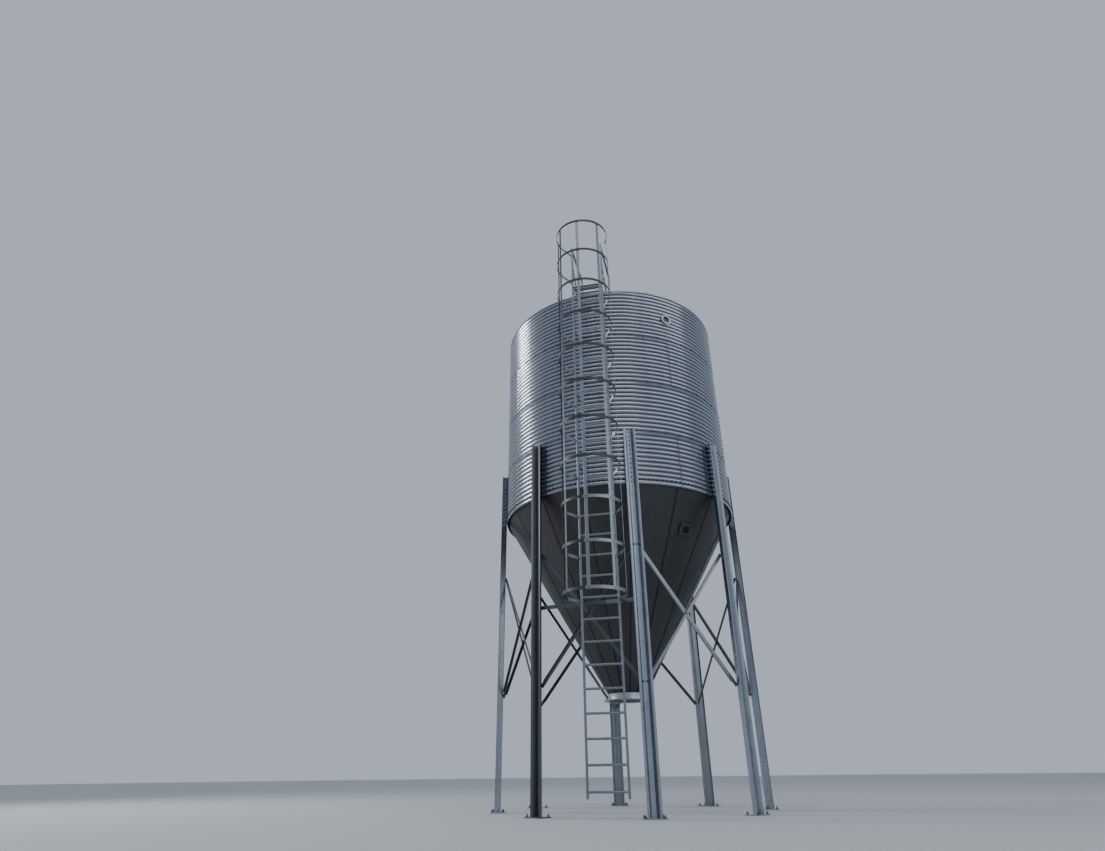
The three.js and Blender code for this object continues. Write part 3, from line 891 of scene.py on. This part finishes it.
def leg_section():
    """Outline of the hat section: (sideways, outwards)."""
    thickness = sizes().leg_thickness
    near, far = thickness / 2, LEG_DEPTH - thickness / 2
    half = [(0.0310, near), (0.0565, far), (0.084, far)]
    corners = [Vector((-x, y)) for x, y in half[::-1]] + [Vector(corner) for corner in half]
    left, right = [], []
    for point, _, leave, along in bends(eased(corners, 0.006, 3)):
        normal = Vector((-along.y, along.x)) * (thickness / 2 / max(0.5, along.dot(leave)))
        left.append(point + normal)
        right.append(point - normal)
    return left + right[::-1]


def leg(form, azimuth, side_finish, lip_finish):
    """One leg on its base plate; its mouth's sides and lips take materials of their own, for
    painted shade.
    """
    place = facing(azimuth)
    plate_top = 0.012
    outline = leg_section()
    ends = (plate_top - 0.001, EAVE + RING_HEIGHT)
    form.loft([[place(x, LEG_BACK + y, z) for x, y in outline] for z in ends], strip=True)
    # Faces of the mouth's side walls and of the lips take their own materials, for painted shade
    lips_from, side_depth = 0.057, 0.03
    for i, (x, y) in enumerate(outline):
        far_x, far_y = outline[(i + 1) % len(outline)]
        if min(abs(x), abs(far_x)) > lips_from:
            form.finishes[i] = lip_finish
        elif i < len(outline) // 2 - 1 and abs(far_y - y) > side_depth:
            form.finishes[i] = side_finish
    middle = LEG_BACK + LEG_DEPTH / 2
    form.block(place, (-0.130, middle - 0.095, 0), (0.130, middle + 0.095, plate_top), 0.0015)
    for x in (-0.105, 0.105):
        for y in (-0.068, 0.068):
            spot = place(x, middle + y, plate_top)
            form.bolt(spot, UP, 0.026)
            form.lathe(
                [(0, 0), (0.008, 0), (0.008, 0.028), (0.0065, 0.030), (0, 0.030)], spot, UP, 12, 1)
    spots = [(0, EAVE + (k + 0.5) * PITCH) for k in range(12)]
    rise = BRACE_RISE * (BRACE_END - 0.004)
    spots += [(x, BRACE_CROSSING + way * rise) for x in (-0.018, 0.018) for way in (-1, 1)]
    for x, z in spots:
        form.bolt(place(x, LEG_BACK + sizes().leg_thickness, z), outward(azimuth), 0.018)


class SILO_OT_legs(bpy.types.Operator):
    """Builds the eight hat-section legs on their base plates"""
    bl_idname = "silo.legs"
    bl_label = "Legs"

    def execute(self, context):
        for i in range(8):
            form = Form()
            # The first leg and the two back legs are darkened with painted shade, the first leg's
            # mouth sides and lips more so
            leg(form, (2 * i - 1) * BAY, *((0, 0) if i else (2, 3)))
            face = "dull_legs" if i == 0 else "back_legs" if i in (4, 5) else "legs"
            form.build(
                f"hat_leg_{i + 1}", f"{face} bolt leg_sides leg_lips", f"leg_{i + 1}")
        return {"FINISHED"}


def brace_bar(form, azimuth, rising):
    """One angle bar between two legs, its ends bent to lie on the backs of the webs.

    The rising bar (1) lies outside with its lip outwards, the falling one (-1) inside.
    The lip stops on both sides of the ladder's support bar.
    """
    place = facing(azimuth)
    half, lip = sizes().brace_width / 2, sizes().brace_lip
    front = BRACE_CHORD + (BRACE_STEEL if rising > 0 else 0)
    lean = atan(BRACE_RISE) * rising
    along = Vector((cos(lean), sin(lean)))
    over = Vector((-sin(lean), cos(lean)))
    bay = radians(BAY)
    reach = BRACE_END / along.x

    def bar(stations, corners, bent):
        """Skins (across the bar, outwards) corners, which may give way to the webs."""
        rings = []
        for s in stations:
            rings.append([])
            for offset, out in corners:
                flat = along * s + over * offset
                if bent:
                    web = (LEG_BACK - 0.0004 - abs(flat.x) * sin(bay)) / cos(bay)
                    out += min(front, web) - BRACE_STEEL
                rings[-1].append(place(flat.x, out, BRACE_CROSSING + flat.y))
        form.loft(rings)

    shares = (-1, -0.975, -0.95, 0.95, 0.975, 1)
    face = ((-half, 0), (half, 0), (half, BRACE_STEEL), (-half, BRACE_STEEL))
    bar([reach * share for share in shares], face, True)
    near = front if rising > 0 else front - BRACE_STEEL
    far = near + lip * rising
    near -= 0.0005 * rising
    upper = half * rising
    edge = upper - BRACE_STEEL * rising
    ends = [-reach * 0.93, reach * 0.93]
    if azimuth == 0 and rising > 0:
        ends[1:1] = [0.06, 0.28]
    for stations in zip(ends[::2], ends[1::2]):
        bar(stations, ((edge, near), (upper, near), (upper, far), (edge, far)), False)


class SILO_OT_braces(bpy.types.Operator):
    """Builds the crossing angle bars between each two legs, bolted where they cross"""
    bl_idname = "silo.braces"
    bl_label = "Braces"

    def execute(self, context):
        for i in range(8):
            azimuth = 2 * BAY * i
            form = Form()
            for rising in (1, -1):
                brace_bar(form, azimuth, rising)
            for way in (1, -1):
                out = BRACE_CHORD + BRACE_STEEL * way
                form.bolt(facing(azimuth)(0, out, BRACE_CROSSING), outward(azimuth) * way, 0.020)
            # Only the braces of the second and third bays keep the lighter colour; the rest are
            # darkened with painted shade
            face = "braces" if i in (1, 2) else "dull_braces"
            form.build(f"crossed_bars_{i + 1}", f"{face} bolt", f"leg_brace_{i + 1}")
        return {"FINISHED"}


# Ladder and cage


class SILO_OT_ladder(bpy.types.Operator):
    """Builds the ladder: two rails, round rungs and stand-offs bolted to the wall"""
    bl_idname = "silo.ladder"
    bl_label = "Ladder"

    def execute(self, context):
        form = Form()
        for side in (-1, 1):
            x = side * HALF_LADDER
            form.block(
                beside_ladder, (x - HALF_RAIL, RAIL_BACK, 0.200),
                (x + HALF_RAIL, RAIL_FRONT, LADDER_TOP), 0.003)
            for z in STAND_OFFS:
                self.stand_off(form, side, z)
        radius = sizes().rung_radius
        weld = radius + 0.0035
        inside = HALF_LADDER - HALF_RAIL
        length = 2 * inside + 0.002
        profile = [
            (0, 0), (weld, 0), (weld, 0.0015), (radius, 0.006), (radius, length - 0.006),
            (weld, length - 0.0015), (weld, length), (0, length),
        ]
        for i in range(27):
            start = beside_ladder(-inside - 0.001, LADDER_OUT, LOWEST_RUNG + i * RUNG_PITCH)
            form.lathe(profile, start, LADDER_RIGHT, 18)
        form.build("climbing_ladder", "ladder_zinc bolt", "ladder")
        return {"FINISHED"}

    def stand_off(self, form, side, z):
        """A flat bar beside the rail, bent at the wall into a bolted foot."""
        wall = sizes().wall_radius + 0.0005
        x = side * (HALF_LADDER - 0.0155)
        near = sqrt(wall ** 2 - x ** 2)
        azimuth = LADDER_AZIMUTH + degrees(asin(x / wall))
        path = [
            beside_ladder(x, LADDER_OUT + 0.016, z), beside_ladder(x, near + 0.0035, z),
            around(azimuth - side * 1.8, wall + 0.0030, z),
        ]
        form.sweep(eased(path, 0.008, 4), bar_section(0.0025, 0.020, 0.0008))
        form.bolt(around(azimuth - side * 1.1, wall + 0.0052, z), outward(azimuth - side * 0.9))
        form.bolt(beside_ladder(x - side * 0.0025, LADDER_OUT, z), LADDER_RIGHT * -side, 0.014)


class SILO_OT_cage(bpy.types.Operator):
    """Builds the ladder's cage of eleven hoops and five uprights"""
    bl_idname = "silo.cage"
    bl_label = "Ladder cage"

    def execute(self, context):
        place = beside_ladder
        thickness = sizes().strap_thickness
        hoop_section = bar_section(thickness / 2, STRAP_HEIGHT / 2, 0.0012)
        form = Form()
        tab = HALF_LADDER + HALF_RAIL + 0.0003 + thickness / 2
        front = RAIL_FRONT + 0.004
        wrap = 128
        heights = [LOWEST_HOOP + i * HOOP_PITCH for i in range(11)]
        for z in heights:
            start = [place(-tab, RAIL_BACK, z), place(-tab, front, z)]
            curve = []
            for k in range(45):
                a = radians(-wrap + 2 * wrap * k / 44)
                curve.append(place(HOOP_RADIUS * sin(a), HOOP_CENTRE + HOOP_RADIUS * cos(a), z))
            end = [place(tab, front, z), place(tab, RAIL_BACK, z)]
            path = eased(start + curve[:1], 0.012, 3)[:-1] + curve
            path += eased(curve[-1:] + end, 0.012, 3)[1:]
            first_face = len(form.finishes)
            form.sweep(path, hoop_section)
            # Painted light: the left end, and below the eave the right side, take the ladder's
            # lighter colour; above the eave the right end takes a painted glint. The rest is
            # painted shade.
            form.refinish(first_face, 0, 8, 3)
            right = (len(path) - 7, len(path) - 1, 2) if z > EAVE else (26, 40, 3)
            form.refinish(first_face, *right)
            for side in (-1, 1):
                spot = place(side * (tab + thickness / 2), LADDER_OUT, z)
                form.bolt(spot, LADDER_RIGHT * side, 0.014)
        for angle in (-96, -48, 0, 48, 96):
            self.upright(form, angle, heights)
        form.build("hooped_cage", "cage bolt clean ladder_zinc", "ladder_cage")
        return {"FINISHED"}

    def upright(self, form, angle, heights):
        """A flat strap inside the hoops, bolted to each."""
        thickness = sizes().strap_thickness
        low, high = heights[0] - STRAP_HEIGHT / 2, heights[-1] + STRAP_HEIGHT / 2
        inside = HOOP_RADIUS - thickness / 2
        a = radians(angle)

        def local(across, depth, z):
            out = inside - thickness + depth + 0.0003
            return beside_ladder(
                out * sin(a) + across * cos(a), HOOP_CENTRE + out * cos(a) - across * sin(a), z)

        # Painted light and shade: the uprights on the right take the ladder's lighter colour, those
        # on the left the cage's darker copy
        form.block(
            local, (-STRAP_HEIGHT / 2, 0, low), (STRAP_HEIGHT / 2, thickness, high), 0.0012,
            3 if angle >= 0 else 0)
        direction = local(0, 1, 0) - local(0, 0, 0)
        for z in heights:
            form.bolt(local(0, 2 * thickness - 0.0003, z), direction, 0.013)


class SILO_OT_support_bar(bpy.types.Operator):
    """Builds the bar between the two front legs, with its brackets to the ladder's rails"""
    bl_idname = "silo.support_bar"
    bl_label = "Ladder support bar"

    def execute(self, context):
        _, low, high = span("ladder_support_bar")
        middle, half = (low + high) / 2, (high - low) / 2
        place = facing(0)
        thickness, front = 0.005, 1.6420
        bend, painted_light_from = 0.600, 0.24
        bay, swing = radians(BAY), radians(LADDER_AZIMUTH)

        def end(x):
            web = LEG_BACK - 0.0006 - thickness / 2 - abs(x) * sin(bay)
            return place(x, web / cos(bay), middle)

        def bar(x):
            return place(x, front - thickness / 2, middle)

        form = Form()
        path = [end(-0.660), end(-0.643), bar(-bend), bar(bend), end(0.643), end(0.660)]
        path = eased(path, 0.008, 3)
        turn = next(i for i, point in enumerate(path) if point.x > painted_light_from)
        path.insert(turn, bar(painted_light_from))
        form.sweep(path, bar_section(thickness / 2, half, 0.001))
        # Painted light: the bar's right part takes the lighter braces colour, the left part painted
        # shade
        form.refinish(0, turn, len(path) - 1, 2)
        for side in (-1, 1):
            x = side * HALF_LADDER
            foot_out = (front - x * sin(swing)) / cos(swing)
            start = beside_ladder(x, foot_out + 0.0028, middle)
            toe = start + sideways(0) * side * 0.045
            path = [beside_ladder(x, RAIL_BACK - 0.0003, middle), start, toe]
            form.sweep(eased(path, 0.008, 3), bar_section(0.0025, half, 0.001))
            form.bolt(start + sideways(0) * side * 0.028 + outward(0) * 0.0028, outward(0))
        form.build("ladder_rest_bar", "dull_braces bolt braces", "ladder_support_bar")
        return {"FINISHED"}


class SILO_OT_handrails(bpy.types.Operator):
    """Builds the two tubular handrails from the ladder over the roof"""
    bl_idname = "silo.handrails"
    bl_label = "Handrails"

    def execute(self, context):
        place = beside_ladder
        radius = sizes().handrail_radius
        near = RAIL_BACK - radius - 0.0005
        far, stay_out = 1.150, 1.573
        top = LADDER_TOP - 0.004 - radius
        for side, name in ((-1, "left"), (1, "right")):
            x = side * HALF_LADDER
            post_foot, stay_foot = (roof_height(hypot(out, x)) for out in (far, stay_out))
            rail = [
                place(x, near, 7.509), place(x, near, top), place(x, far, top),
                place(x, far, post_foot + 0.003),
            ]
            stay = [
                place(x, near - 0.004, 7.550), place(x, near - 0.012, 7.545),
                place(x, stay_out + 0.02, stay_foot + 0.02), place(x, stay_out, stay_foot + 0.002),
            ]
            form = Form()
            form.sweep(eased(rail, 0.065, 7), round_section(radius, 20), -LADDER_RIGHT)
            form.sweep(stay, round_section(0.013, 16), -LADDER_RIGHT)
            self.foot(form, x, far, 0.110)
            self.foot(form, x, stay_out, 0.070)
            for z in (7.535, 7.860):
                form.block(
                    place, (x - 0.019, near - radius - 0.003, z - 0.02),
                    (x + 0.019, RAIL_BACK, z + 0.02), 0.003)
            form.build(
                f"roof_handrail_{name}", "ladder_zinc bolt", f"handrail_{name}")
        return {"FINISHED"}

    def foot(self, form, x, out, size):
        """A square plate on the roof's slope, bolted at its corners."""
        base = roof_height(hypot(out, x))
        tilted = sloping(beside_ladder, x, out, base, atan(ROOF_SLOPE))
        half, thickness = size / 2, 0.0075
        form.block(tilted, (-half, -half, 0.0005), (half, half, thickness), 0.001)
        up = tilted(0, 0, 1) - tilted(0, 0, 0)
        reach = half - 0.014
        for a, b in ((-1, -1), (-1, 1), (1, -1), (1, 1)):
            form.bolt(tilted(a * reach, b * reach, thickness), up, 0.012)


class SILO_OT_landing_step(bpy.types.Operator):
    """Builds the grated landing step between the rails at the rim"""
    bl_idname = "silo.landing_step"
    bl_label = "Landing step"

    def execute(self, context):
        _, bottom, top = span("landing_step")
        place = beside_ladder
        half = HALF_LADDER - HALF_RAIL - 0.0004
        wall = 1.7612
        back = sqrt(wall ** 2 - half ** 2) + 0.0006
        form = Form()
        for side in (-1, 1):
            near, far = sorted((side * (half - 0.004), side * half))
            form.block(place, (near, back, bottom), (far, RAIL_FRONT, top), 0.0008)
        for out in (1.800, 1.885, 1.970):
            form.block(
                place, (-half + 0.0035, out - 0.010, top - 0.021),
                (half - 0.0035, out + 0.010, top - 0.0003), 0.002)
        # Painted shade: the step takes the braces' darker copy
        form.build("grated_step", "dull_braces", "landing_step")
        return {"FINISHED"}


# Port and window


class SILO_OT_level_port(bpy.types.Operator):
    """Builds the round flanged port high on the wall"""
    bl_idname = "silo.level_port"
    bl_label = "Level port"

    def execute(self, context):
        azimuth = 45
        start, out = facing(azimuth)(0.052, 0, 6.731), outward(azimuth)
        wall = sizes().wall_radius
        end = LEG_BACK + 0.0278
        bore, pipe, flange, bolt_circle = 0.056, 0.063, 0.080, 0.0715
        form = Form()
        form.lathe(
            [(bore, wall - 0.011), (pipe, wall - 0.011), (pipe, end - 0.012),
             (pipe + 0.003, end - 0.009), (flange - 0.001, end - 0.009), (flange, end - 0.008),
             (flange, end - 0.001), (flange - 0.001, end), (bore + 0.0015, end),
             (bore, end - 0.0015)], start, out, 40)
        form.lathe(
            [(pipe - 0.001, wall - 0.010), (pipe + 0.006, wall - 0.010),
             (pipe + 0.006, wall + 0.0015), (pipe + 0.005, wall + 0.0025),
             (pipe - 0.001, wall + 0.0025)], start, out, 40)
        # Painted shade: the plug in the bore and the dots at the bolt ends take the braces' darker
        # copy
        form.lathe(
            [(0, wall - 0.004), (bore + 0.001, wall - 0.004), (bore + 0.001, wall + 0.006),
             (bore - 0.004, wall + 0.008), (0, wall + 0.009)], start, out, 40, 2)
        for i in range(6):
            a = TURN * i / 6 + 0.3
            arm = sideways(azimuth) * cos(a) + UP * sin(a)
            spot = start + arm * bolt_circle + out * end
            form.bolt(spot - out * 0.0088, -out, 0.009)
            form.lathe([(0, 0), (0.0026, 0), (0.0026, 0.0001), (0, 0.0001)], spot, out, 10, 2)
        form.build("flanged_port", "port bolt dull_braces", "level_port")
        return {"FINISHED"}


class SILO_OT_sight_window(bpy.types.Operator):
    """Builds the oblong sight window on the hopper's slope"""
    bl_idname = "silo.sight_window"
    bl_label = "Sight window"

    def execute(self, context):
        azimuth, height = 55.5, 3.46
        out = 1.7465 - (HOPPER_BEND - height) / HOPPER_FALL
        leaning = sloping(facing(azimuth), 0, out, height, radians(30))
        wide, tall, front = 0.1155, 0.0855, 0.0135
        opening = (0.060, 0.0455)
        form = Form()
        form.loft(self.frame_rings(leaning, (wide, tall), opening, front), 0, loop=True)
        outer, inner = ([side + more for side in opening] for more in (0.001, -0.006))
        form.loft(self.frame_rings(leaning, outer, inner, front - 0.004, 0.0), 2, loop=True)
        rings = []
        for lift, inset in ((0.001, 0.002), (0.0048, 0.002), (0.0054, 0.010), (0.0056, 0.024)):
            pane = bar_section(opening[0] - inset, opening[1] - inset, 0.006)
            rings.append([leaning(a, lift, b) for a, b in pane])
        form.loft(rings, 3)
        direction = leaning(0, 1, 0) - leaning(0, 0, 0)
        for a in (-1, 0, 1):
            for b in (-1, 0, 1):
                if a or b:
                    spot = leaning(a * (wide - 0.014), front, b * (tall - 0.014))
                    form.bolt(spot, direction, 0.011)
        form.build("sight_glass_frame", "window bolt rubber glass", "sight_window")
        return {"FINISHED"}

    def frame_rings(self, leaning, outer, inner, front, sunk=-0.0075):
        """Section of the frame at each of its corners, as rings for a loop."""
        rings = []
        for a, b in ((-1, -1), (1, -1), (1, 1), (-1, 1)):
            section = [
                (outer, 0, sunk), (outer, 0, front - 0.002), (outer, -0.002, front),
                (inner, 0.002, front), (inner, 0, front - 0.002), (inner, 0, sunk),
            ]
            rings.append([
                leaning(a * (size[0] + more), lift, b * (size[1] + more))
                for size, more, lift in section])
        return rings


# Stage


def camera():
    """The camera stands low, in front and a little to the left, and looks up."""
    swing, pitch, roll = radians(21.16), radians(27.11), radians(-0.64)
    data = bpy.data.cameras.new("photo_camera")
    focal_pixels, pixels_wide = 680.4, 1105
    data.sensor_width = 36
    data.sensor_fit = "HORIZONTAL"
    data.lens = data.sensor_width * focal_pixels / pixels_wide
    data.clip_end = 400
    eye = shown("photo_camera", data)
    forward = Vector((-sin(swing) * cos(pitch), cos(swing) * cos(pitch), sin(pitch)))
    level = forward.cross(UP).normalized()
    upright = level.cross(forward)
    right = level * cos(roll) + upright * sin(roll)
    up = upright * cos(roll) - level * sin(roll)
    turned = Matrix((right, up, -forward)).transposed().to_4x4()
    distance, eye_height = 10.35, 0.45
    stand = around(CAMERA_BEARING, distance, eye_height)
    eye.matrix_world = Matrix.Translation(stand) @ turned
    bpy.context.scene.camera = eye


def area_light(name, swing, distance, height, size, watts, colour, aim=4.5):
    """A soft light at so many degrees from the camera's bearing."""
    data = bpy.data.lights.new(name, "AREA")
    data.shape = "RECTANGLE"
    data.size, data.size_y = size
    data.energy = watts
    data.color = colour
    light = shown(name, data)
    light.location = around(CAMERA_BEARING + swing, distance, height)
    way = AXIS + UP * aim - light.location
    light.rotation_euler = way.to_track_quat("-Z", "Y").to_euler()


class SILO_OT_stage(bpy.types.Operator):
    """Makes the plain floor, the soft lights and the camera"""
    bl_idname = "silo.stage"
    bl_label = "Stage"

    def execute(self, context):
        camera()
        mesh = bpy.data.meshes.new("studio_floor")
        points = [(x, y, 0) for x, y in round_section(90.0, 96)]
        mesh.from_pydata(points, [], [tuple(range(len(points)))])
        mesh.materials.append(Finish("studio_floor").paint(shaded("floor"), 0.85, 0.0))
        shown("studio_floor", mesh)
        world = bpy.data.worlds.new("studio_world")
        world.use_nodes = True
        background = world.node_tree.nodes["Background"]
        background.inputs["Color"].default_value = (0.60, 0.68, 0.80, 1)
        background.inputs["Strength"].default_value = 0.75
        context.scene.world = world
        area_light("left_soft_light", -93, 13, 8.5, (3.2, 4.5), 900, (1.0, 0.99, 0.97))
        area_light("right_soft_light", 50, 15, 9, (16, 9), 520, (0.93, 0.96, 1.0))
        area_light("top_soft_light", 0, 7, 17, (9, 9), 350, (1.0, 1.0, 1.0), 5)
        return {"FINISHED"}


OPERATORS = (
    SILO_OT_stage, SILO_OT_wall, SILO_OT_hopper, SILO_OT_outlet, SILO_OT_roof, SILO_OT_legs,
    SILO_OT_braces, SILO_OT_ladder, SILO_OT_cage, SILO_OT_support_bar, SILO_OT_handrails,
    SILO_OT_landing_step, SILO_OT_level_port, SILO_OT_sight_window,
)


class SILO_PT_parts(bpy.types.Panel):
    """Lists the silo's sizes, colours and pieces"""
    bl_idname = "SILO_PT_parts"
    bl_label = "Feed silo"
    bl_space_type = "VIEW_3D"
    bl_region_type = "UI"
    bl_category = "Feed silo"

    def draw(self, context):
        for group in (context.scene.silo_sizes, context.scene.silo_colours):
            box = self.layout.box()
            for name in group.__annotations__:
                box.prop(group, name)
        for operator in OPERATORS:
            self.layout.operator(operator.bl_idname)


CLASSES = (SiloSizes, SiloColours, *OPERATORS, SILO_PT_parts)


def register():
    for kind in CLASSES:
        bpy.utils.register_class(kind)
    bpy.types.Scene.silo_sizes = PointerProperty(type=SiloSizes)
    bpy.types.Scene.silo_colours = PointerProperty(type=SiloColours)


def unregister():
    del bpy.types.Scene.silo_colours
    del bpy.types.Scene.silo_sizes
    for kind in reversed(CLASSES):
        bpy.utils.unregister_class(kind)


def main():
    register()
    bpy.ops.silo.stage()
    bpy.ops.silo.wall()
    bpy.ops.silo.hopper()
    bpy.ops.silo.outlet()
    bpy.ops.silo.roof()
    bpy.ops.silo.legs()
    bpy.ops.silo.braces()
    bpy.ops.silo.ladder()
    bpy.ops.silo.cage()
    bpy.ops.silo.support_bar()
    bpy.ops.silo.handrails()
    bpy.ops.silo.landing_step()
    bpy.ops.silo.level_port()
    bpy.ops.silo.sight_window()


if __name__ == "__main__":
    main()
